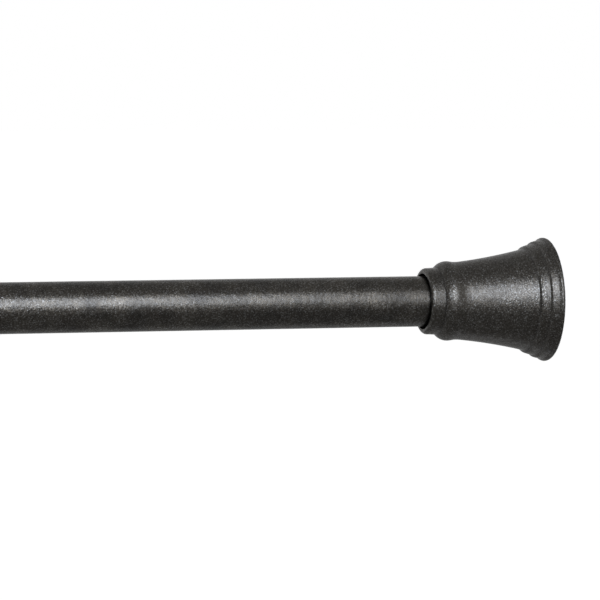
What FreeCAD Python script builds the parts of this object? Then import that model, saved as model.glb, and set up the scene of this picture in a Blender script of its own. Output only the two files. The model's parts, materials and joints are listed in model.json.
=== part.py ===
import FreeCAD, Part
import math
import operator
import os

import Sketcher
from FreeCAD import Placement, Rotation, Vector

# Sizes in mm. The origin is the middle of the right pad's wall face, +X points into that wall.
SIZES = {
    # tubes
    "outer_tube_dia": 25.4,
    "outer_tube_wall": 0.6,
    "outer_tube_length": 469.4,
    "inner_tube_wall": 0.6,
    "crimp_width": 4.0,
    "crimp_depth": 0.7,
    # fits, each a radial gap
    "tube_gap": 1.0,
    "slide_gap": 0.15,
    "press_gap": 0.03,
    "thread_gap": 0.1,
    # end cap outline, from the mouth to the rim
    "mouth_gap": 1.4,
    "collar_wall": 2.8,
    "lip_round": 2.0,
    "collar_draft": 0.2,
    "collar_length": 7.0,
    "bead_run": 5.5,
    "bead_rise": 3.15,
    "neck_run": 4.4,
    "neck_drop": 0.43,
    "turn_run": 3.0,
    "turn_rise": 0.17,
    "flare_run": 33.7,
    "flare_rise": 5.95,
    "riser_run": 0.8,
    "first_riser": 1.3,
    "first_step_run": 5.0,
    "first_step_rise": 2.46,
    "first_step_round": 18.0,
    "second_riser": 1.15,
    "second_step_run": 4.0,
    "second_step_rise": 1.9,
    "second_step_round": 18.0,
    "rim_riser": 0.7,
    "rim_run": 1.7,
    "rim_rise": 1.2,
    "rim_round": 1.2,
    # end cap inside
    "cap_wall": 2.4,
    "socket_depth": 32.0,
    "web_thickness": 3.0,
    "hub_bore": 11.0,
    "hub_wall": 2.0,
    "rib_thickness": 2.0,
    "rib_setback": 12.0,
    "rim_wall": 2.5,
    "screw_hole": 4.0,
    # wall pad
    "pad_thickness": 4.0,
    "pad_proud": 0.8,
    "pad_edge": 0.8,
    "grip_width": 2.0,
    "grip_depth": 0.8,
    "grip_spacing": 6.0,
    "grip_start": 9.0,
    "boss_length": 4.0,
    # end plug and its screw
    "plug_flange": 2.0,
    "plug_length": 14.0,
    "plug_wall": 1.6,
    "plug_boss": 8.4,
    "screw_dia": 2.9,
    "screw_length": 14.0,
    "screw_point": 2.0,
    "head_dia": 7.6,
    "head_height": 2.4,
    "head_round": 1.2,
    "recess_span": 4.0,
    "recess_width": 0.9,
    "recess_depth": 1.4,
    # bush in the mouth of the outer tube
    "bush_flange": 1.6,
    "bush_rim": 0.5,
    "bush_length": 20.0,
    # twist lock
    "nest_gap": 3.0,
    "stud_dia": 8.0,
    "stud_length": 25.4,
    "clip_inset": 1.5,
    "clip_thickness": 1.0,
    "clip_groove": 0.8,
    "clip_reach": 1.6,
    "clip_room": 0.8,
    "spindle_flange": 4.0,
    "flange_relief": 1.0,
    "sleeve_wall": 2.3,
    "sleeve_float": 0.1,
    "slit_width": 1.6,
    "slit_root": 4.0,
    "cone_root": 5.0,
    "cone_taper": 3.4,
    "cone_gap": 0.05,
    "draw_gap": 1.0,
    "nut_head": 3.0,
    "nut_head_gap": 1.5,
    "nut_clip_gap": 0.8,
    "wing_thickness": 1.2,
    "wing_length": 9.0,
    "wing_inset": 0.7,
    # spring and the hexagon guide
    "hex_flats": 9.0,
    "hex_gap": 0.15,
    "spring_stroke": 30.0,
    "shank_margin": 2.0,
    "guide_flange": 3.0,
    "guide_length": 20.0,
    "seat_stud": 5.2,
    "seat_stud_length": 6.0,
    "seat_gap": 0.1,
    "seat_thickness": 3.0,
    "seat_margin": 0.9,
    "spigot_length": 6.0,
    "spigot_gap": 0.4,
    "spring_length": 100.0,
    "spring_wire": 1.8,
    "spring_tube_gap": 1.4,
    "coil_gap": 0.2,
    "stop_length": 14.0,
    # gap left between cap and bush with the spring fully pressed
    "end_clearance": 6.0,
}
RIBS = 6
SLITS = 4
GRIP_RINGS = 3
CLIP_ANGLE = 300
ACTIVE_COILS = 12
WIRE_SIDES = 8

OPERATIONS = {"+": operator.add, "-": operator.sub, "*": operator.mul, "/": operator.truediv}


class Size:
    """A length together with the sheet expression that gives it."""

    def __init__(self, text, value):
        self.text = text
        self.value = value

    def joined(self, sign, other):
        if not isinstance(other, Size):
            other = Size(str(other), other)
        value = OPERATIONS[sign](self.value, other.value)
        return Size(f"({self.text} {sign} {other.text})", value)

    def __add__(self, other):
        return self.joined("+", other)

    def __sub__(self, other):
        return self.joined("-", other)

    def __mul__(self, other):
        return self.joined("*", other)

    def __truediv__(self, other):
        return self.joined("/", other)


ZERO = Size("0", 0.0)

doc = FreeCAD.newDocument("tension_rod")
sheet = doc.addObject("Spreadsheet::Sheet", "sizes")
for row, (alias, number) in enumerate(SIZES.items(), start=1):
    sheet.set(f"A{row}", alias)
    sheet.set(f"B{row}", str(number))
    sheet.setAlias(f"B{row}", alias)
doc.recompute()


def size(alias):
    return Size(f"sizes.{alias}", float(sheet.get(alias)))


def origin_feature(body, role):
    for feature in body.Origin.OriginFeatures:
        if feature.Role == role:
            return feature
    raise LookupError(role)


def new_body(label):
    body = doc.addObject("PartDesign::Body", label)
    body.Label = label
    return body


def new_sketch(body, name, plane, lift=ZERO):
    sketch = body.newObject("Sketcher::SketchObject", name)
    sketch.AttachmentSupport = [(origin_feature(body, plane), "")]
    sketch.MapMode = "FlatFace"
    if lift is not ZERO:
        sketch.setExpression("AttachmentOffset.Base.z", lift.text)
    return sketch


def hold(sketch, kind, value, *places):
    """Adds one dimension to a sketch and ties it to the sheet."""
    index = sketch.addConstraint(Sketcher.Constraint(kind, *places, value.value))
    sketch.setExpression(f"Constraints[{index}]", value.text)


def hold_point(sketch, edge, end, across, up):
    """Holds a sketch point at its distances from both axes."""
    for kind, value, axis in (("DistanceX", across, -2), ("DistanceY", up, -1)):
        if value.value == 0:
            sketch.addConstraint(Sketcher.Constraint("PointOnObject", edge, end, axis))
        elif value.value > 0:
            hold(sketch, kind, value, -1, 1, edge, end)
        else:
            hold(sketch, kind, ZERO - value, edge, end, -1, 1)


def arc_between(first, last, radius, side):
    """An arc from first to last; side 1 has its centre on the left of the way, -1 on the right."""
    way = last - first
    rise = math.sqrt(radius * radius - way.Length * way.Length / 4)
    centre = first + way / 2 + Vector(-way.y, way.x, 0) / way.Length * rise * side
    begin, end = (first, last) if side > 0 else (last, first)
    start_angle = math.atan2(begin.y - centre.y, begin.x - centre.x)
    end_angle = math.atan2(end.y - centre.y, end.x - centre.x)
    circle = Part.Circle(centre, Vector(0, 0, 1), radius)
    return Part.ArcOfCircle(circle, start_angle, end_angle)


def outline(sketch, corners):
    """Closes the corners (across, up) into a loop; (across, up, radius, side) starts an arc."""
    ends = []
    for index, corner in enumerate(corners):
        after = corners[(index + 1) % len(corners)]
        first = Vector(corner[0].value, corner[1].value, 0)
        last = Vector(after[0].value, after[1].value, 0)
        if len(corner) == 2:
            edge = sketch.addGeometry(Part.LineSegment(first, last), False)
            ends.append((edge, 1, 2))
        else:
            radius, side = corner[2], corner[3]
            edge = sketch.addGeometry(arc_between(first, last, radius.value, side), False)
            hold(sketch, "Radius", radius, edge)
            ends.append((edge, 1, 2) if side > 0 else (edge, 2, 1))
    for index, (edge, begin, finish) in enumerate(ends):
        following = ends[(index + 1) % len(ends)]
        sketch.addConstraint(
            Sketcher.Constraint("Coincident", edge, finish, following[0], following[1]))
        hold_point(sketch, edge, begin, corners[index][0], corners[index][1])


def level_radius(run, rise):
    """Radius of an arc over run and rise that lies level with the axis at one end."""
    return (run * run + rise * rise) / (rise * 2)


def following_radius(radius, run, rise, next_run, next_rise):
    """Radius of the arc that carries on smoothly from a level arc over run and rise."""
    lean = (next_rise * (radius - rise) - next_run * run) / radius
    return (next_run * next_run + next_rise * next_rise) / (lean * 2)


def turn(body, name, corners, angle=360):
    """Revolves a profile (along, radius) about the body's X axis."""
    sketch = new_sketch(body, name + "_profile", "XY_Plane")
    outline(sketch, corners)
    feature = body.newObject("PartDesign::Revolution", name)
    feature.Profile = sketch
    feature.ReferenceAxis = (sketch, ["H_Axis"])
    feature.Angle = angle
    body.Tip = feature
    return feature


def rib(body, kind, name, corners, thickness):
    """Pads or pockets a profile in the plane of the axis, evenly to both sides."""
    sketch = new_sketch(body, name + "_profile", "XY_Plane")
    outline(sketch, corners)
    feature = body.newObject("PartDesign::" + kind, name)
    feature.Profile = sketch
    feature.SideType = "Symmetric"
    feature.setExpression("Length", thickness.text)
    body.Tip = feature
    return feature


def around(body, name, feature, count):
    """Repeats a feature about the body's X axis."""
    doc.recompute()
    pattern = body.newObject("PartDesign::PolarPattern", name)
    pattern.Originals = [feature]
    pattern.Axis = (origin_feature(body, "X_Axis"), [""])
    pattern.Angle = 360
    pattern.Occurrences = count
    body.Tip = pattern


def hexagon(body, name, flats, lift=ZERO):
    """A hexagon across the X axis, with two flats level."""
    sketch = new_sketch(body, name, "YZ_Plane", lift)
    half = flats / 2
    point = flats * (1 / math.sqrt(3))
    corner = point / 2
    outline(sketch, [
        (point, ZERO),
        (corner, half),
        (ZERO - corner, half),
        (ZERO - point, ZERO),
        (ZERO - corner, ZERO - half),
        (corner, ZERO - half),
    ])
    return sketch


def place_right(item, distance):
    """Places a piece at a distance from the right wall, its own X pointing away from that wall."""
    item.Placement = Placement(Vector(-distance.value, 0, 0), Rotation(Vector(0, 0, 1), 180))
    item.setExpression("Placement.Base.x", "-" + distance.text)


def place_left(item, distance):
    """Places a piece at a distance from the left wall, its own X pointing away from that wall."""
    place = distance - rest_length
    item.Placement = Placement(Vector(place.value, 0, 0), Rotation())
    item.setExpression("Placement.Base.x", place.text)


# Radii and lengths that several pieces share
outer_radius = size("outer_tube_dia") / 2
outer_bore = outer_radius - size("outer_tube_wall")
inner_radius = outer_bore - size("tube_gap")
inner_bore = inner_radius - size("inner_tube_wall")
slide_gap = size("slide_gap")
press_gap = size("press_gap")
stud_radius = size("stud_dia") / 2
spring_outside = inner_bore - size("spring_tube_gap")
spring_inside = spring_outside - size("spring_wire")
spigot_radius = spring_inside - size("spigot_gap")
crimp_half = size("crimp_width") / 2
crimp_radius = level_radius(crimp_half, size("crimp_depth"))

# Stations along the end cap, from its mouth
collar_end = size("collar_length")
bead_crest = collar_end + size("bead_run")
neck = bead_crest + size("neck_run")
turn_end = neck + size("turn_run")
flare_end = turn_end + size("flare_run")
first_step_end = flare_end + size("first_step_run")
second_step_end = first_step_end + size("second_step_run")
rim_crest = second_step_end + size("rim_run")
cap_length = rim_crest + size("rim_round")

# Radii along the end cap
collar_radius = outer_radius + size("mouth_gap") + size("collar_wall")
bead_radius = collar_radius + size("bead_rise")
neck_radius = bead_radius - size("neck_drop")
turn_radius = neck_radius + size("turn_rise")
flare_radius = turn_radius + size("flare_rise")
first_step_radius = flare_radius + size("first_step_rise")
second_step_radius = first_step_radius + size("second_step_rise")
rim_radius = second_step_radius + size("rim_rise")
pad_seat_radius = rim_radius - size("rim_wall")
pad_radius = pad_seat_radius - slide_gap
hub_radius = size("hub_bore") / 2

# Stations along the rod, from the right wall
mouth_station = size("pad_proud") + cap_length
plug_station = mouth_station - size("socket_depth")
tube_station = plug_station + size("plug_flange")
stud_station = tube_station + size("plug_length") + size("nest_gap")
flange_station = stud_station + size("stud_length")
clip_end_station = stud_station + size("clip_inset") + size("clip_thickness")
nut_station = clip_end_station + size("nut_clip_gap")
sleeve_station = nut_station + size("nut_head") + size("draw_gap")
sleeve_length = flange_station - size("sleeve_float") - sleeve_station
shank_station = flange_station + size("spindle_flange")
guide_station = shank_station + size("spring_stroke") + size("shank_margin")
inner_station = guide_station + size("guide_flange")
seat_station = inner_station + size("guide_length") + size("seat_gap")
spring_station = seat_station + size("seat_thickness")
stop_station = spring_station + size("spring_length")
outer_end_station = tube_station + size("outer_tube_length")
bush_station = outer_end_station + size("bush_flange")
left_mouth_station = bush_station + size("spring_stroke") + size("end_clearance")
rest_length = left_mouth_station + mouth_station
inner_tube_length = rest_length - tube_station - inner_station
guide_crimp = size("guide_length") / 2
stop_crimp = stop_station - inner_station + size("stop_length") / 2


def end_cap(label, tube_radius):
    """The flared cap, from its mouth at x = 0 to its rim."""
    body = new_body(label)
    mouth_radius = tube_radius + size("mouth_gap")
    lip = size("lip_round")
    lip_radius = collar_radius - size("collar_draft")
    wall = size("cap_wall")
    ledge_face = size("pad_proud") + cap_length - size("pad_thickness")
    ledge_back = ledge_face - wall
    ledge_radius = pad_seat_radius - wall
    turn_arc = level_radius(size("turn_run"), size("turn_rise"))
    flare_arc = following_radius(
        turn_arc, size("turn_run"), size("turn_rise"), size("flare_run"), size("flare_rise"))
    neck_half = size("neck_run") / 2
    drop_half = size("neck_drop") / 2
    neck_arc = level_radius(neck_half, drop_half)
    riser = size("riser_run")
    rim_arc = level_radius(size("rim_run") - riser, size("rim_rise") - size("rim_riser"))
    turn(body, label + "_shell", [
        (ZERO, mouth_radius),
        (ZERO, lip_radius - lip, lip, -1),
        (lip, lip_radius),
        (collar_end, collar_radius, level_radius(size("bead_run"), size("bead_rise")), -1),
        (bead_crest, bead_radius, neck_arc, -1),
        (bead_crest + neck_half, bead_radius - drop_half, neck_arc, 1),
        (neck, neck_radius, turn_arc, 1),
        (turn_end, turn_radius, flare_arc, 1),
        (flare_end, flare_radius),
        (flare_end + riser, flare_radius + size("first_riser"), size("first_step_round"), -1),
        (first_step_end, first_step_radius),
        (first_step_end + riser, first_step_radius + size("second_riser"),
         size("second_step_round"), -1),
        (second_step_end, second_step_radius),
        (second_step_end + riser, second_step_radius + size("rim_riser"), rim_arc, -1),
        (rim_crest, rim_radius, size("rim_round"), -1),
        (cap_length, rim_radius - size("rim_round")),
        (cap_length, pad_seat_radius),
        (ledge_face, pad_seat_radius),
        (ledge_face, ledge_radius),
        (ledge_back, ledge_radius),
        (flare_end, flare_radius - wall, flare_arc + wall, -1),
        (turn_end, turn_radius - wall),
        (bead_crest - neck_half, mouth_radius),
    ])
    web_face = size("socket_depth")
    web_back = web_face + size("web_thickness")
    hub_outside = hub_radius + size("hub_wall")
    hole_radius = size("screw_hole") / 2
    doc.recompute()
    rib_bottom = tube_radius + press_gap
    wall_half = wall / 2
    rib_top = (mouth_radius + bead_radius) / 2
    one_rib = rib(body, "Pad", label + "_rib", [
        (size("rib_setback"), rib_bottom),
        (size("rib_setback"), rib_top),
        (turn_end, turn_radius - wall_half),
        (flare_end, flare_radius - wall_half),
        (ledge_face, ledge_radius + wall_half),
        (ledge_face, hub_outside - wall_half),
        (web_face, hub_outside - wall_half),
        (web_face, rib_bottom),
    ], size("rib_thickness"))
    around(body, label + "_ribs", one_rib, RIBS)
    doc.recompute()
    turn(body, label + "_hub", [
        (web_face, hole_radius),
        (web_face, tube_radius),
        (web_back, tube_radius),
        (web_back, hub_outside),
        (ledge_face, hub_outside),
        (ledge_face, hub_radius),
        (web_back, hub_radius),
        (web_back, hole_radius),
    ])
    return body


def wall_pad(label):
    """The rubber pad, from its wall face at x = 0 to the tip of its boss."""
    body = new_body(label)
    edge = size("pad_edge")
    thickness = size("pad_thickness")
    boss_radius = hub_radius - slide_gap
    corners = [(ZERO, ZERO)]
    for ring in range(GRIP_RINGS):
        inside = size("grip_start") + size("grip_spacing") * ring
        outside = inside + size("grip_width")
        corners += [
            (ZERO, inside),
            (size("grip_depth"), inside),
            (size("grip_depth"), outside),
            (ZERO, outside),
        ]
    corners += [
        (ZERO, pad_radius - edge, edge, -1),
        (edge, pad_radius),
        (thickness, pad_radius),
        (thickness, boss_radius),
        (thickness + size("boss_length"), boss_radius),
        (thickness + size("boss_length"), ZERO),
    ]
    turn(body, label + "_disc", corners)
    return body


def end_plug(label, tube_radius, bore):
    """The plug in a tube's end, from its flange face at x = 0."""
    body = new_body(label)
    flange = size("plug_flange")
    tip = flange + size("plug_length")
    body_radius = bore - press_gap
    pilot = size("screw_dia") / 2 + press_gap
    boss = size("plug_boss") / 2
    cup = body_radius - size("plug_wall")
    turn(body, label + "_cup", [
        (ZERO, pilot),
        (ZERO, tube_radius),
        (flange, tube_radius),
        (flange, body_radius),
        (tip, body_radius),
        (tip, cup),
        (flange * 2, cup),
        (flange * 2, boss),
        (tip, boss),
        (tip, pilot),
    ])
    return body


def cap_screw(label):
    """The screw of an end cap, from the top of its head at x = 0."""
    body = new_body(label)
    head = size("head_height")
    head_radius = size("head_dia") / 2
    shank = size("screw_dia") / 2
    head_edge = size("head_round")
    shank_end = head + size("screw_length")
    turn(body, label + "_shank", [
        (ZERO, ZERO),
        (ZERO, head_radius - head_edge, head_edge, -1),
        (head_edge, head_radius),
        (head, head_radius),
        (head, shank),
        (shank_end, shank),
        (shank_end + size("screw_point"), ZERO),
    ])
    doc.recompute()
    long = size("recess_span") / 2
    short = size("recess_width") / 2
    sketch = new_sketch(body, label + "_cross", "YZ_Plane")
    outline(sketch, [
        (long, ZERO - short),
        (long, short),
        (short, short),
        (short, long),
        (ZERO - short, long),
        (ZERO - short, short),
        (ZERO - long, short),
        (ZERO - long, ZERO - short),
        (ZERO - short, ZERO - short),
        (ZERO - short, ZERO - long),
        (short, ZERO - long),
        (short, ZERO - short),
    ])
    recess = body.newObject("PartDesign::Pocket", label + "_recess")
    recess.Profile = sketch
    recess.Reversed = True
    recess.setExpression("Length", size("recess_depth").text)
    body.Tip = recess
    return body


def retaining_ring(label, groove_radius, outside):
    """A split ring, from one face at x = 0."""
    body = new_body(label)
    thickness = size("clip_thickness")
    turn(body, label + "_ring", [
        (ZERO, groove_radius),
        (ZERO, outside),
        (thickness, outside),
        (thickness, groove_radius),
    ], CLIP_ANGLE)
    return body


# The two ends
right_cap = end_cap("right_finial", outer_radius)
right_cap.Placement = Placement(Vector(-mouth_station.value, 0, 0), Rotation())
right_cap.setExpression("Placement.Base.x", "-" + mouth_station.text)
left_cap = end_cap("left_finial", inner_radius)
left_cap.Placement = Placement(
    Vector(-left_mouth_station.value, 0, 0), Rotation(Vector(0, 0, 1), 180))
left_cap.setExpression("Placement.Base.x", "-" + left_mouth_station.text)
screw_station = plug_station - size("web_thickness") - size("head_height")
place_right(wall_pad("right_wall_pad"), ZERO)
place_left(wall_pad("left_wall_pad"), ZERO)
place_right(end_plug("right_end_plug", outer_radius, outer_bore), plug_station)
place_left(end_plug("left_end_plug", inner_radius, inner_bore), plug_station)
place_right(cap_screw("right_finial_screw"), screw_station)
place_left(cap_screw("left_finial_screw"), screw_station)

# The outer tube and the bush in its mouth
outer_tube = new_body("outer_tube")
turn(outer_tube, "outer_tube_wall", [
    (ZERO, outer_bore),
    (ZERO, outer_radius),
    (size("outer_tube_length"), outer_radius),
    (size("outer_tube_length"), outer_bore),
])
place_right(outer_tube, tube_station)

bush = new_body("tube_bush")
bush_bore = inner_radius + slide_gap
bush_rim_radius = outer_radius + size("bush_rim")
bush_end = size("bush_length") + size("bush_flange")
turn(bush, "tube_bush_sleeve", [
    (ZERO, bush_bore),
    (ZERO, outer_bore - press_gap),
    (size("bush_length"), outer_bore - press_gap),
    (size("bush_length"), bush_rim_radius),
    (bush_end, bush_rim_radius),
    (bush_end, bush_bore),
])
place_right(bush, bush_station - bush_end)

# The inner tube, rolled in over the guide and the spring stop
inner_tube = new_body("inner_tube")
turn(inner_tube, "inner_tube_wall", [
    (ZERO, inner_bore),
    (ZERO, inner_radius),
    (guide_crimp - crimp_half, inner_radius, crimp_radius, 1),
    (guide_crimp, inner_radius - size("crimp_depth"), crimp_radius, 1),
    (guide_crimp + crimp_half, inner_radius),
    (stop_crimp - crimp_half, inner_radius, crimp_radius, 1),
    (stop_crimp, inner_radius - size("crimp_depth"), crimp_radius, 1),
    (stop_crimp + crimp_half, inner_radius),
    (inner_tube_length, inner_radius),
    (inner_tube_length, inner_bore),
    (stop_crimp + crimp_half, inner_bore, crimp_radius, -1),
    (stop_crimp, inner_bore - size("crimp_depth"), crimp_radius, -1),
    (stop_crimp - crimp_half, inner_bore),
    (guide_crimp + crimp_half, inner_bore, crimp_radius, -1),
    (guide_crimp, inner_bore - size("crimp_depth"), crimp_radius, -1),
    (guide_crimp - crimp_half, inner_bore),
])
place_right(inner_tube, inner_station)

# The spindle of the twist lock, from the tip of its stud
spindle = new_body("lock_spindle")
clip_start = size("clip_inset")
clip_end = clip_start + size("clip_thickness") + press_gap
clip_root = stud_radius - size("clip_groove")
flange_end = size("stud_length") + size("spindle_flange")
shank_length = seat_station - shank_station
shank_end = flange_end + shank_length
seat_clip_start = shank_end + size("seat_thickness") + press_gap
seat_clip_end = seat_clip_start + size("clip_thickness") + press_gap
seat_stud_radius = size("seat_stud") / 2
seat_clip_root = seat_stud_radius - size("clip_groove") / 2
seat_stud_end = shank_end + size("seat_stud_length")
spindle_flange_radius = outer_bore - size("flange_relief")
turn(spindle, "lock_spindle_core", [
    (ZERO, ZERO),
    (ZERO, stud_radius),
    (clip_start, stud_radius),
    (clip_start, clip_root),
    (clip_end, clip_root),
    (clip_end, stud_radius),
    (size("stud_length"), stud_radius),
    (size("stud_length"), spindle_flange_radius),
    (flange_end, spindle_flange_radius),
    (flange_end, seat_stud_radius),
    (seat_clip_start, seat_stud_radius),
    (seat_clip_start, seat_clip_root),
    (seat_clip_end, seat_clip_root),
    (seat_clip_end, seat_stud_radius),
    (seat_stud_end, seat_stud_radius),
    (seat_stud_end, ZERO),
])
doc.recompute()
shank = spindle.newObject("PartDesign::Pad", "lock_spindle_shank")
shank.Profile = hexagon(spindle, "lock_spindle_hexagon", size("hex_flats"), flange_end)
shank.setExpression("Length", shank_length.text)
spindle.Tip = shank
place_right(spindle, stud_station)

ring_outside = stud_radius + size("clip_reach")
place_right(retaining_ring("stud_clip", clip_root, ring_outside), stud_station + clip_start)
seat_ring_outside = seat_stud_radius + size("clip_reach")
place_right(
    retaining_ring("seat_clip", seat_clip_root, seat_ring_outside), stud_station + seat_clip_start)

# The split sleeve, from the end that faces the cone nut
sleeve = new_body("lock_sleeve")
sleeve_radius = outer_bore - slide_gap
cone_large = sleeve_radius - size("sleeve_wall") - size("cone_gap")
cone_small = cone_large - size("cone_taper")
cone_length = sleeve_length - size("cone_root")
slit_length = sleeve_length - size("slit_root")
stud_clear = stud_radius + size("thread_gap") + slide_gap
turn(sleeve, "lock_sleeve_wall", [
    (ZERO, cone_large + size("cone_gap")),
    (ZERO, sleeve_radius),
    (sleeve_length, sleeve_radius),
    (sleeve_length, stud_clear),
    (cone_length, stud_clear),
    (cone_length, cone_small + size("cone_gap")),
])
doc.recompute()
slit = rib(sleeve, "Pocket", "lock_sleeve_slit", [
    (ZERO, ZERO),
    (ZERO, outer_bore),
    (slit_length, outer_bore),
    (slit_length, ZERO),
], size("slit_width"))
around(sleeve, "lock_sleeve_slits", slit, SLITS)
place_right(sleeve, sleeve_station)

# The cone nut with its wings in the slits
nut = new_body("cone_nut")
nut_bore = stud_radius + size("thread_gap")
nut_end = size("nut_head") + cone_length
nut_head_radius = outer_bore - size("nut_head_gap")
turn(nut, "cone_nut_cone", [
    (ZERO, nut_bore),
    (ZERO, nut_head_radius),
    (size("nut_head"), nut_head_radius),
    (size("nut_head"), cone_large),
    (nut_end, cone_small),
    (nut_end, nut_bore),
])
doc.recompute()
wing_end = size("nut_head") + size("wing_length")
wing_bottom = (nut_bore + cone_small) / 2
wing = rib(nut, "Pad", "cone_nut_wing", [
    (size("nut_head") / 2, wing_bottom),
    (size("nut_head") / 2, sleeve_radius - size("wing_inset")),
    (wing_end, sleeve_radius - size("wing_inset")),
    (wing_end, wing_bottom),
], size("wing_thickness"))
around(nut, "cone_nut_wings", wing, SLITS)
place_right(nut, nut_station)

# The hexagon guide, crimped in the end of the inner tube
guide = new_body("spindle_guide")
guide_radius = inner_bore - press_gap
guide_end = size("guide_flange") + size("guide_length")
guide_groove = size("guide_flange") + guide_crimp
turn(guide, "spindle_guide_body", [
    (ZERO, ZERO),
    (ZERO, outer_bore - slide_gap),
    (size("guide_flange"), outer_bore - slide_gap),
    (size("guide_flange"), guide_radius),
    (guide_groove - crimp_half, guide_radius, crimp_radius, 1),
    (guide_groove, guide_radius - size("crimp_depth"), crimp_radius, 1),
    (guide_groove + crimp_half, guide_radius),
    (guide_end, guide_radius),
    (guide_end, ZERO),
])
doc.recompute()
hole = guide.newObject("PartDesign::Pocket", "spindle_guide_hole")
hole.Profile = hexagon(guide, "spindle_guide_hexagon", size("hex_flats") + size("hex_gap") * 2)
hole.Reversed = True
hole.setExpression("Length", guide_end.text)
guide.Tip = hole
place_right(guide, guide_station)

# The spring, its seat on the spindle and its stop in the inner tube
seat = new_body("spring_seat")
seat_radius = inner_bore - size("seat_margin")
spigot_bore = seat_ring_outside + size("clip_room")
spigot_end = size("seat_thickness") + size("spigot_length")
turn(seat, "spring_seat_cup", [
    (ZERO, seat_stud_radius + slide_gap),
    (ZERO, seat_radius),
    (size("seat_thickness"), seat_radius),
    (size("seat_thickness"), spigot_radius),
    (spigot_end, spigot_radius),
    (spigot_end, spigot_bore),
    (size("seat_thickness"), spigot_bore),
    (size("seat_thickness"), seat_stud_radius + slide_gap),
])
place_right(seat, seat_station)

stop = new_body("spring_stop")
stop_face = size("spigot_length")
stop_end = stop_face + size("stop_length")
stop_groove = stop_face + size("stop_length") / 2
turn(stop, "spring_stop_body", [
    (ZERO, spigot_bore),
    (ZERO, spigot_radius),
    (stop_face, spigot_radius),
    (stop_face, guide_radius),
    (stop_groove - crimp_half, guide_radius, crimp_radius, 1),
    (stop_groove, guide_radius - size("crimp_depth"), crimp_radius, 1),
    (stop_groove + crimp_half, guide_radius),
    (stop_end, guide_radius),
    (stop_end, spigot_bore),
])
place_right(stop, stop_station - stop_face)

spring = new_body("compression_spring")
wire_radius = size("spring_wire") / 2
coil_radius = spring_outside - wire_radius
end_pitch = size("spring_wire") + size("coil_gap")
coil_start = wire_radius + press_gap
active_height = size("spring_length") - (coil_start + end_pitch) * 2


def coil(name, start, height, turns):
    """One stretch of the spring, its wire drawn with flat sides to keep the coil light."""
    wire = new_sketch(spring, name + "_wire", "XY_Plane")
    corners = []
    for side in range(WIRE_SIDES):
        angle = 2 * math.pi * side / WIRE_SIDES
        corners.append((
            start + wire_radius * math.cos(angle),
            coil_radius + wire_radius * math.sin(angle)))
    outline(wire, corners)
    feature = spring.newObject("PartDesign::AdditiveHelix", name)
    feature.Profile = wire
    feature.ReferenceAxis = (wire, ["H_Axis"])
    feature.Mode = "height-turns-angle"
    feature.Turns = turns
    feature.setExpression("Height", height.text)
    spring.Tip = feature
    doc.recompute()


coil("closed_end_coil", coil_start, end_pitch, 1)
coil("active_coils", coil_start + end_pitch, active_height, ACTIVE_COILS)
coil("closed_start_coil", coil_start + end_pitch + active_height, end_pitch, 1)
place_right(spring, spring_station)

doc.recompute()

pieces = [item for item in doc.Objects if item.TypeId == "PartDesign::Body"]
for item in doc.Objects:
    if "Invalid" in item.State or "Error" in item.State:
        raise RuntimeError(f"{item.Name} did not build: {item.State}")
for piece in pieces:
    if piece.Shape.isNull() or not piece.Shape.isValid():
        raise RuntimeError(f"{piece.Label} has no valid shape")

os.makedirs("parts", exist_ok=True)
for piece in pieces:
    piece.Shape.exportStep(f"parts/{piece.Label}.step")
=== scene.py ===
import json
import math

import bpy
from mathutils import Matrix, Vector


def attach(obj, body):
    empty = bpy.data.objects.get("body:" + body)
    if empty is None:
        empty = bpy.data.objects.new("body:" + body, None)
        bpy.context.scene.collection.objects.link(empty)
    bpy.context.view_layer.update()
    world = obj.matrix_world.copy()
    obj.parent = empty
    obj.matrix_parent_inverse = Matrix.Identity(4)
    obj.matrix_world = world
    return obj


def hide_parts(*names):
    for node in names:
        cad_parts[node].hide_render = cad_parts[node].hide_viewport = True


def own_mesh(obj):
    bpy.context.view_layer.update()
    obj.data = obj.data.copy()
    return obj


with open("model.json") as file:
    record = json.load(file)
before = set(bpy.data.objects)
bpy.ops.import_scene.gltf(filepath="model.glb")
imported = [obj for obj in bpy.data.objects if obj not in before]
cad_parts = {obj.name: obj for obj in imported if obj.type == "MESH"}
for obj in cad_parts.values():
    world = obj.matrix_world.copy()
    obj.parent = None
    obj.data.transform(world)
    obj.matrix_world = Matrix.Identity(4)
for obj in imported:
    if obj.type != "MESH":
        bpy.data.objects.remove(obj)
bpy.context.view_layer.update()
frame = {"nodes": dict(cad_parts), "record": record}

# Camera: metres, degrees and millimetres of lens
SENSOR = 36.0
LENS = 243.5
TARGET = Vector((-0.13050, 0.0, 0.00166))
AZIMUTH = -16.23
ELEVATION = 3.20
DISTANCE = 2.0249
CLIP_END = 200.0

# Room and floor
WHITE = (1.0, 1.0, 1.0, 1.0)
BLACK = (0.0, 0.0, 0.0, 1.0)
ROOM_LEVEL = 0.32
FLOOR_LEVEL = -0.5
FLOOR_SIZE = 80.0
FLOOR_COLOUR = (0.80, 0.80, 0.80, 1.0)
FLOOR_ROUGHNESS = 0.9
FLOOR_GLOW = 0.76

# Cards that only reflections see
CARD_SIDES = 64
CARD_HALF_LENGTH = 1.2
LOW_CARD_PLACE = (-0.3, -0.40, -0.3)
LOW_CARD_HALF_WIDTH = 0.55
LOW_CARD_LIGHT = 0.40
REAR_CARD_PLACE = (-0.3, 0.62, -0.3)
REAR_CARD_HALF_WIDTH = 0.45
REAR_CARD_LIGHT = 0.66
TOP_CARD_PLACE = (-0.3, -0.1, 0.8)
TOP_CARD_HALF_WIDTH = 0.7
TOP_CARD_LIGHT = 0.62

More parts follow.
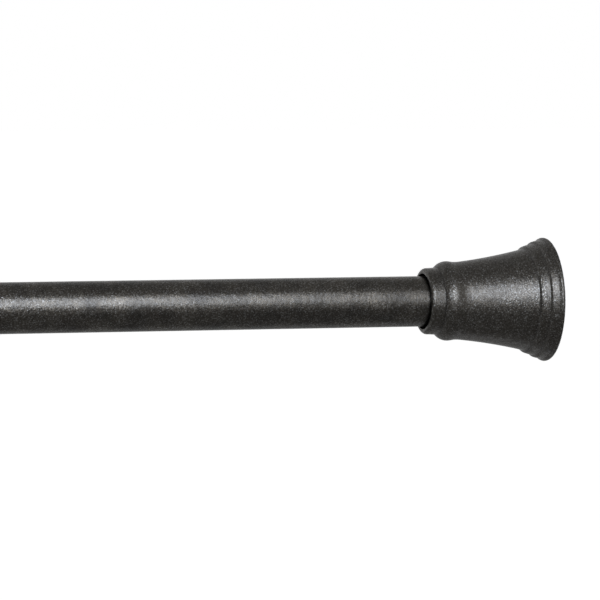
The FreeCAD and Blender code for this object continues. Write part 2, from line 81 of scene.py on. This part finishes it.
# Lamps
LAMP_COLOUR = (0.93, 1.0, 1.12)
KEY_AIM = Vector((-0.105, 0.0, 0.0))
KEY_PLACE = Vector((-0.105, -1.02, 0.43))
KEY_WIDTH = 0.49
KEY_HEIGHT = 0.64
KEY_POWER = 12.0
SIDE_AIM = Vector((-0.05, 0.0, 0.0))
SIDE_PLACE = Vector((-0.77, -0.95, 0.37))
SIDE_WIDTH = 0.55
SIDE_HEIGHT = 0.45
SIDE_POWER = 5.5
BACK_AIM = Vector((-0.25, 0.0, 0.0))
BACK_PLACE = Vector((1.00, 0.95, 0.06))
FAR_PLACE = Vector((-1.50, 0.95, 0.06))
BACK_WIDTH = 0.90
BACK_HEIGHT = 0.70
BACK_POWER = 8.0

# Meshes
SEAM_WIDTH = 0.000002
SHARP_ANGLE = math.radians(28)

# Noise lies mostly between these values
NOISE_LOW = 0.3
NOISE_HIGH = 0.7

# Dark coat of the tubes and caps, with the flakes' colours from dull to bright
FLAKE_COLOURS = [
    (0.00, (0.0125, 0.0104, 0.0076)),
    (0.55, (0.0305, 0.0268, 0.0216)),
    (0.85, (0.0560, 0.0525, 0.0465)),
    (1.00, (0.1300, 0.1300, 0.1290)),
]
FLAKE_EDGE_TINT = (0.40, 0.40, 0.40, 1.0)
LACQUER_WEIGHT = 0.42
LACQUER_SMOOTHER = 0.03
GLOSS_SWING = 0.05
# Painted shade in grooves and recesses, from ambient occlusion
GROOVE_REACH = 0.006
GROOVE_SAMPLES = 8
GROOVE_CLOSED = 0.65
GROOVE_OPEN = 0.96
GROOVE_SHADE = 0.10
CLUMP_SCALE = 90.0
CLUMP_DETAIL = 4.0
CLUMP_LOW = 0.35
CLUMP_HIGH = 0.65
MOTTLE_SCALE = 400.0
MOTTLE_STRENGTH = 0.45
MOTTLE_HEIGHT = 0.0003
GRAIN_SCALE = 2600.0
GRAIN_DETAIL = 2.0
GRAIN_STRENGTH = 0.25
LACQUER_GRAIN_STRENGTH = 0.45
GRAIN_HEIGHT = 0.0001

# Moulded plastic and rubber
WEAR_SCALE = 140.0
WEAR_DETAIL = 5.0
WEAR_ROUGHNESS = 0.6
WEAR_SWING = 0.07
MOULD_STRENGTH = 0.3
MOULD_HEIGHT = 0.0001

# Zinc plate
STREAK_SCALE = (3200.0, 160.0, 160.0)
STREAK_SMOOTH = 0.22
STREAK_ROUGH = 0.40
STREAK_STRENGTH = 0.15
STREAK_HEIGHT = 0.00005
ZINC_CLOUD_SCALE = 220.0
ZINC_CLOUD_DETAIL = 4.0
ZINC_DARK = (0.50, 0.51, 0.52)
ZINC_PALE = (0.66, 0.66, 0.65)


def new_material(name):
    material = bpy.data.materials.new(name)
    material.use_nodes = True
    tree = material.node_tree
    shader = tree.nodes["Principled BSDF"]
    return material, tree, shader


def add(tree, kind, **settings):
    item = tree.nodes.new("ShaderNode" + kind)
    for key, value in settings.items():
        setattr(item, key, value)
    return item


def object_coordinates(tree):
    return add(tree, "TexCoord").outputs["Object"]


def noise(tree, place, scale, detail=3.0, roughness=0.5):
    item = add(tree, "TexNoise")
    item.inputs["Scale"].default_value = scale
    item.inputs["Detail"].default_value = detail
    item.inputs["Roughness"].default_value = roughness
    tree.links.new(place, item.inputs["Vector"])
    return item.outputs["Fac"]


def cells(tree, place, scale):
    item = add(tree, "TexVoronoi")
    item.inputs["Scale"].default_value = scale
    tree.links.new(place, item.inputs["Vector"])
    return item.outputs["Color"]


def spread(tree, source, low, high, new_low, new_high):
    item = add(tree, "MapRange")
    item.inputs["From Min"].default_value = low
    item.inputs["From Max"].default_value = high
    item.inputs["To Min"].default_value = new_low
    item.inputs["To Max"].default_value = new_high
    tree.links.new(source, item.inputs["Value"])
    return item.outputs["Result"]


def ramp(tree, source, stops):
    item = add(tree, "ValToRGB")
    points = item.color_ramp.elements
    while len(points) < len(stops):
        points.new(0.5)
    for point, (place, colour) in zip(points, stops):
        point.position = place
        point.color = (*colour, 1.0)
    tree.links.new(source, item.inputs["Fac"])
    return item.outputs["Color"]


def bump(tree, height, strength, depth, normal=None):
    item = add(tree, "Bump")
    item.inputs["Strength"].default_value = strength
    item.inputs["Distance"].default_value = depth
    tree.links.new(height, item.inputs["Height"])
    if normal is not None:
        tree.links.new(normal, item.inputs["Normal"])
    return item.outputs["Normal"]


def tilted_flakes(tree, flakes, tilt):
    """The surface normal, leaning a little differently on every flake."""
    centred = add(tree, "VectorMath", operation="SUBTRACT")
    centred.inputs[1].default_value = (0.5, 0.5, 0.5)
    tree.links.new(flakes, centred.inputs[0])
    leaning = add(tree, "VectorMath", operation="SCALE")
    leaning.inputs["Scale"].default_value = tilt
    tree.links.new(centred.outputs[0], leaning.inputs[0])
    total = add(tree, "VectorMath", operation="ADD")
    tree.links.new(add(tree, "NewGeometry").outputs["Normal"], total.inputs[0])
    tree.links.new(leaning.outputs[0], total.inputs[1])
    unit = add(tree, "VectorMath", operation="NORMALIZE")
    tree.links.new(total.outputs[0], unit.inputs[0])
    return unit.outputs[0]


def hollow_shade(tree):
    """Ambient occlusion: 1 on open surfaces, less in narrow grooves, used to paint shade."""
    item = add(tree, "AmbientOcclusion", samples=GROOVE_SAMPLES, only_local=True)
    item.inputs["Distance"].default_value = GROOVE_REACH
    return item.outputs["AO"]


def product(tree, first, second):
    item = add(tree, "Math", operation="MULTIPLY")
    tree.links.new(first, item.inputs[0])
    tree.links.new(second, item.inputs[1])
    return item.outputs[0]


def dimmed(tree, colour, share):
    item = add(tree, "VectorMath", operation="SCALE")
    tree.links.new(colour, item.inputs[0])
    tree.links.new(share, item.inputs["Scale"])
    return item.outputs[0]


def flaked_coat(name, flake_size, tilt, gloss, patchy):
    """A dark coat with silvery flakes in it, with painted shade darkening its colour in
    grooves.
    """
    material, tree, shader = new_material(name)
    place = object_coordinates(tree)
    flakes = cells(tree, place, 1.0 / flake_size)
    pick = add(tree, "SeparateColor")
    tree.links.new(flakes, pick.inputs["Color"])
    colour = ramp(tree, pick.outputs["Red"], FLAKE_COLOURS)
    # Painted shade: the colour darkens where ambient occlusion finds grooves and recesses
    painted_groove_shade = spread(tree, hollow_shade(tree), GROOVE_CLOSED, GROOVE_OPEN, GROOVE_SHADE, 1.0)
    cloud = noise(tree, place, CLUMP_SCALE, CLUMP_DETAIL)
    clumps = spread(tree, cloud, CLUMP_LOW, CLUMP_HIGH, 1.0 - patchy, 1.0 + patchy)
    tree.links.new(
        dimmed(tree, colour, product(tree, painted_groove_shade, clumps)), shader.inputs["Base Color"])
    shader.inputs["Metallic"].default_value = 1.0
    shader.inputs["Specular Tint"].default_value = FLAKE_EDGE_TINT
    shader.inputs["Coat Weight"].default_value = LACQUER_WEIGHT
    shader.inputs["Coat Roughness"].default_value = gloss - LACQUER_SMOOTHER
    tree.links.new(
        spread(tree, cloud, NOISE_LOW, NOISE_HIGH, gloss + GLOSS_SWING, gloss - GLOSS_SWING),
        shader.inputs["Roughness"])
    grain = noise(tree, place, GRAIN_SCALE, GRAIN_DETAIL)
    mottle = noise(tree, place, MOTTLE_SCALE)
    leaning = tilted_flakes(tree, flakes, tilt)
    wavy = bump(tree, mottle, MOTTLE_STRENGTH, MOTTLE_HEIGHT, leaning)
    tree.links.new(
        bump(tree, grain, GRAIN_STRENGTH, GRAIN_HEIGHT, wavy), shader.inputs["Normal"])
    peel = bump(tree, mottle, MOTTLE_STRENGTH, MOTTLE_HEIGHT)
    tree.links.new(
        bump(tree, grain, LACQUER_GRAIN_STRENGTH, GRAIN_HEIGHT, peel),
        shader.inputs["Coat Normal"])
    return material


def moulded_plastic(name, dark, light, gloss, grain_scale):
    """A moulded plastic with a fine grain and faint clouds of wear."""
    material, tree, shader = new_material(name)
    place = object_coordinates(tree)
    cloud = noise(tree, place, WEAR_SCALE, WEAR_DETAIL, WEAR_ROUGHNESS)
    tree.links.new(
        ramp(tree, cloud, [(NOISE_LOW, dark), (NOISE_HIGH, light)]),
        shader.inputs["Base Color"])
    tree.links.new(
        spread(tree, cloud, NOISE_LOW, NOISE_HIGH, gloss - WEAR_SWING, gloss + WEAR_SWING),
        shader.inputs["Roughness"])
    grain = noise(tree, place, grain_scale)
    tree.links.new(bump(tree, grain, MOULD_STRENGTH, MOULD_HEIGHT), shader.inputs["Normal"])
    return material


def plated_steel(name):
    """Zinc plate with fine streaks around the axis and pale clouds."""
    material, tree, shader = new_material(name)
    place = object_coordinates(tree)
    squeezed = add(tree, "Mapping")
    squeezed.inputs["Scale"].default_value = STREAK_SCALE
    tree.links.new(place, squeezed.inputs["Vector"])
    streaks = noise(tree, squeezed.outputs["Vector"], 1.0)
    cloud = noise(tree, place, ZINC_CLOUD_SCALE, ZINC_CLOUD_DETAIL)
    tree.links.new(
        ramp(tree, cloud, [(NOISE_LOW, ZINC_DARK), (NOISE_HIGH, ZINC_PALE)]),
        shader.inputs["Base Color"])
    shader.inputs["Metallic"].default_value = 1.0
    tree.links.new(
        spread(tree, streaks, NOISE_LOW, NOISE_HIGH, STREAK_SMOOTH, STREAK_ROUGH),
        shader.inputs["Roughness"])
    tree.links.new(
        bump(tree, streaks, STREAK_STRENGTH, STREAK_HEIGHT), shader.inputs["Normal"])
    return material


MATERIALS = {
    "tube_paint": flaked_coat(
        "tube_coat", flake_size=0.00042, tilt=0.25, gloss=0.30, patchy=0.36),
    "cap_paint": flaked_coat(
        "cap_coat", flake_size=0.00044, tilt=0.26, gloss=0.35, patchy=0.08),
    "dark_plastic": moulded_plastic(
        "dark_moulding", dark=(0.022, 0.022, 0.023), light=(0.034, 0.034, 0.035),
        gloss=0.50, grain_scale=3500.0),
    "pad_rubber": moulded_plastic(
        "black_rubber", dark=(0.014, 0.014, 0.014), light=(0.024, 0.024, 0.024),
        gloss=0.72, grain_scale=2200.0),
    "pale_nylon": moulded_plastic(
        "natural_nylon", dark=(0.64, 0.62, 0.55), light=(0.72, 0.70, 0.64),
        gloss=0.42, grain_scale=3000.0),
    "plated_steel": plated_steel("zinc_plate"),
}


def finish_surface(solid, slot):
    """The slot's material, smooth curves and crisp edges."""
    solid.data.materials.clear()
    solid.data.materials.append(MATERIALS[slot])
    seams = solid.modifiers.new("seams", "WELD")
    seams.merge_threshold = SEAM_WIDTH
    edges = solid.modifiers.new("edges", "EDGE_SPLIT")
    edges.split_angle = SHARP_ANGLE
    edges.use_edge_sharp = False
    solid.modifiers.new("shading", "WEIGHTED_NORMAL")


for part in frame["record"]["subparts"]:
    finish_surface(frame["nodes"][part["node"]], part["material_slot"])

# A copy of the spring, carried by the spindle, in place of the rigid one
rigid_spring = frame["nodes"]["compression_spring"]
bpy.context.view_layer.update()
live_spring = bpy.data.objects.new("live_spring", rigid_spring.data.copy())
live_spring.matrix_world = rigid_spring.matrix_world
bpy.context.scene.collection.objects.link(live_spring)
finish_surface(live_spring, "plated_steel")
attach(live_spring, "spindle")
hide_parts("compression_spring")
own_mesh(live_spring)


def background_rays(tree):
    """1 for the rays that show the background: camera, mirror and clear ones."""
    light_path = add(tree, "LightPath")
    shown = light_path.outputs["Is Camera Ray"]
    for other in ("Is Glossy Ray", "Is Transmission Ray"):
        larger = add(tree, "Math", operation="MAXIMUM")
        tree.links.new(shown, larger.inputs[0])
        tree.links.new(light_path.outputs[other], larger.inputs[1])
        shown = larger.outputs[0]
    return shown


# White room
world = bpy.data.worlds.new("studio")
bpy.context.scene.world = world
world.use_nodes = True
room = world.node_tree
room_light = room.nodes["Background"]
room_light.inputs["Color"].default_value = WHITE
room_light.inputs["Strength"].default_value = ROOM_LEVEL
white = add(room, "Background")
white.inputs["Color"].default_value = WHITE
white.inputs["Strength"].default_value = 1.0
either = add(room, "MixShader")
room.links.new(background_rays(room), either.inputs["Fac"])
room.links.new(room_light.outputs[0], either.inputs[1])
room.links.new(white.outputs[0], either.inputs[2])
room.links.new(either.outputs[0], room.nodes["World Output"].inputs["Surface"])

# Pale floor
bpy.ops.mesh.primitive_plane_add(size=FLOOR_SIZE, location=(0.0, 0.0, FLOOR_LEVEL))
floor = bpy.context.object
floor.name = "floor"
floor_paint, floor_tree, floor_shader = new_material("floor_paint")
floor_shader.inputs["Base Color"].default_value = FLOOR_COLOUR
floor_shader.inputs["Roughness"].default_value = FLOOR_ROUGHNESS
floor_shader.inputs["Specular IOR Level"].default_value = 0.0
floor_shader.inputs["Emission Color"].default_value = WHITE
floor_tree.links.new(
    spread(floor_tree, background_rays(floor_tree), 0.0, 1.0, 0.0, FLOOR_GLOW),
    floor_shader.inputs["Emission Strength"])
floor.data.materials.append(floor_paint)


def reflected_card(name, place, half_width, light):
    """An oval card that only reflections see, darker than the white room."""
    bpy.ops.mesh.primitive_circle_add(
        vertices=CARD_SIDES, radius=1.0, fill_type="NGON", location=place)
    card = bpy.context.object
    card.name = name
    card.scale = (CARD_HALF_LENGTH, half_width, 1.0)
    paint, _, shader = new_material(name + "_paint")
    shader.inputs["Base Color"].default_value = BLACK
    shader.inputs["Specular IOR Level"].default_value = 0.0
    shader.inputs["Emission Color"].default_value = WHITE
    shader.inputs["Emission Strength"].default_value = light
    card.data.materials.append(paint)
    card.visible_camera = False
    card.visible_diffuse = False
    card.visible_transmission = False
    card.visible_shadow = False


reflected_card("lower_card", LOW_CARD_PLACE, LOW_CARD_HALF_WIDTH, LOW_CARD_LIGHT)
reflected_card("rear_card", REAR_CARD_PLACE, REAR_CARD_HALF_WIDTH, REAR_CARD_LIGHT)
reflected_card("upper_card", TOP_CARD_PLACE, TOP_CARD_HALF_WIDTH, TOP_CARD_LIGHT)


def softbox(name, place, aim, width, height, power):
    lamp = bpy.data.lights.new(name, "AREA")
    lamp.color = LAMP_COLOUR
    lamp.shape = "RECTANGLE"
    lamp.size = width
    lamp.size_y = height
    lamp.energy = power
    item = bpy.data.objects.new(name, lamp)
    item.location = place
    item.rotation_euler = (aim - place).to_track_quat("-Z", "Y").to_euler()
    item.visible_camera = False
    bpy.context.scene.collection.objects.link(item)


softbox("key_light", KEY_PLACE, KEY_AIM, KEY_WIDTH, KEY_HEIGHT, KEY_POWER)
softbox("side_light", SIDE_PLACE, SIDE_AIM, SIDE_WIDTH, SIDE_HEIGHT, SIDE_POWER)
softbox("back_light", BACK_PLACE, BACK_AIM, BACK_WIDTH, BACK_HEIGHT, BACK_POWER)
softbox("far_light", FAR_PLACE, BACK_AIM, BACK_WIDTH, BACK_HEIGHT, BACK_POWER)

# Camera, looking at the target from the photograph's side
azimuth = math.radians(AZIMUTH)
elevation = math.radians(ELEVATION)
toward_camera = Vector((
    math.sin(azimuth) * math.cos(elevation),
    -math.cos(azimuth) * math.cos(elevation),
    math.sin(elevation),
))
lens = bpy.data.cameras.new("camera")
lens.sensor_width = SENSOR
lens.lens = LENS
lens.clip_end = CLIP_END
camera = bpy.data.objects.new("camera", lens)
camera.location = TARGET + toward_camera * DISTANCE
camera.rotation_euler = toward_camera.to_track_quat("Z", "Y").to_euler()
bpy.context.scene.collection.objects.link(camera)
bpy.context.scene.camera = camera
bpy.context.scene.view_settings.view_transform = "Standard"
